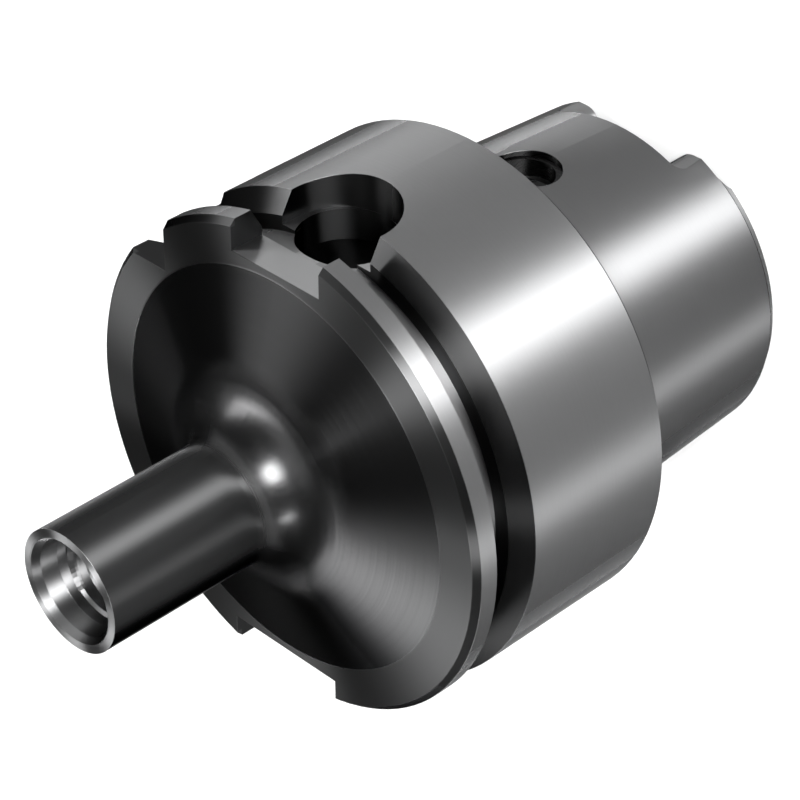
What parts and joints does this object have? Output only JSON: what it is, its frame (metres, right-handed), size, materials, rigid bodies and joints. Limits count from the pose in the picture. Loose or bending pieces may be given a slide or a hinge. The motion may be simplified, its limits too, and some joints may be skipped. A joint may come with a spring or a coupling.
{
  "type": "tool holder adapter",
  "caption": "One-piece turned steel adapter with a hollow taper shank, a grooved grip flange and a slim nose that takes a screw-in cutting head.",
  "frame": {"origin": "centre of the gauge face, the plane where the flange meets the spindle", "axes": "+Z along the turning axis from the shank to the nose tip; +X through the narrow grip slot with the round pocket"},
  "size_m": [0.04, 0.04, 0.06],
  "materials": {
    "tool_steel": "hardened tool steel, ground on the flange, shank and tip, blackened on the nose, front cone and cut-outs"
  },
  "bodies": {
    "root": {"adapter_body": "tool_steel"}
  },
  "joints": []
}
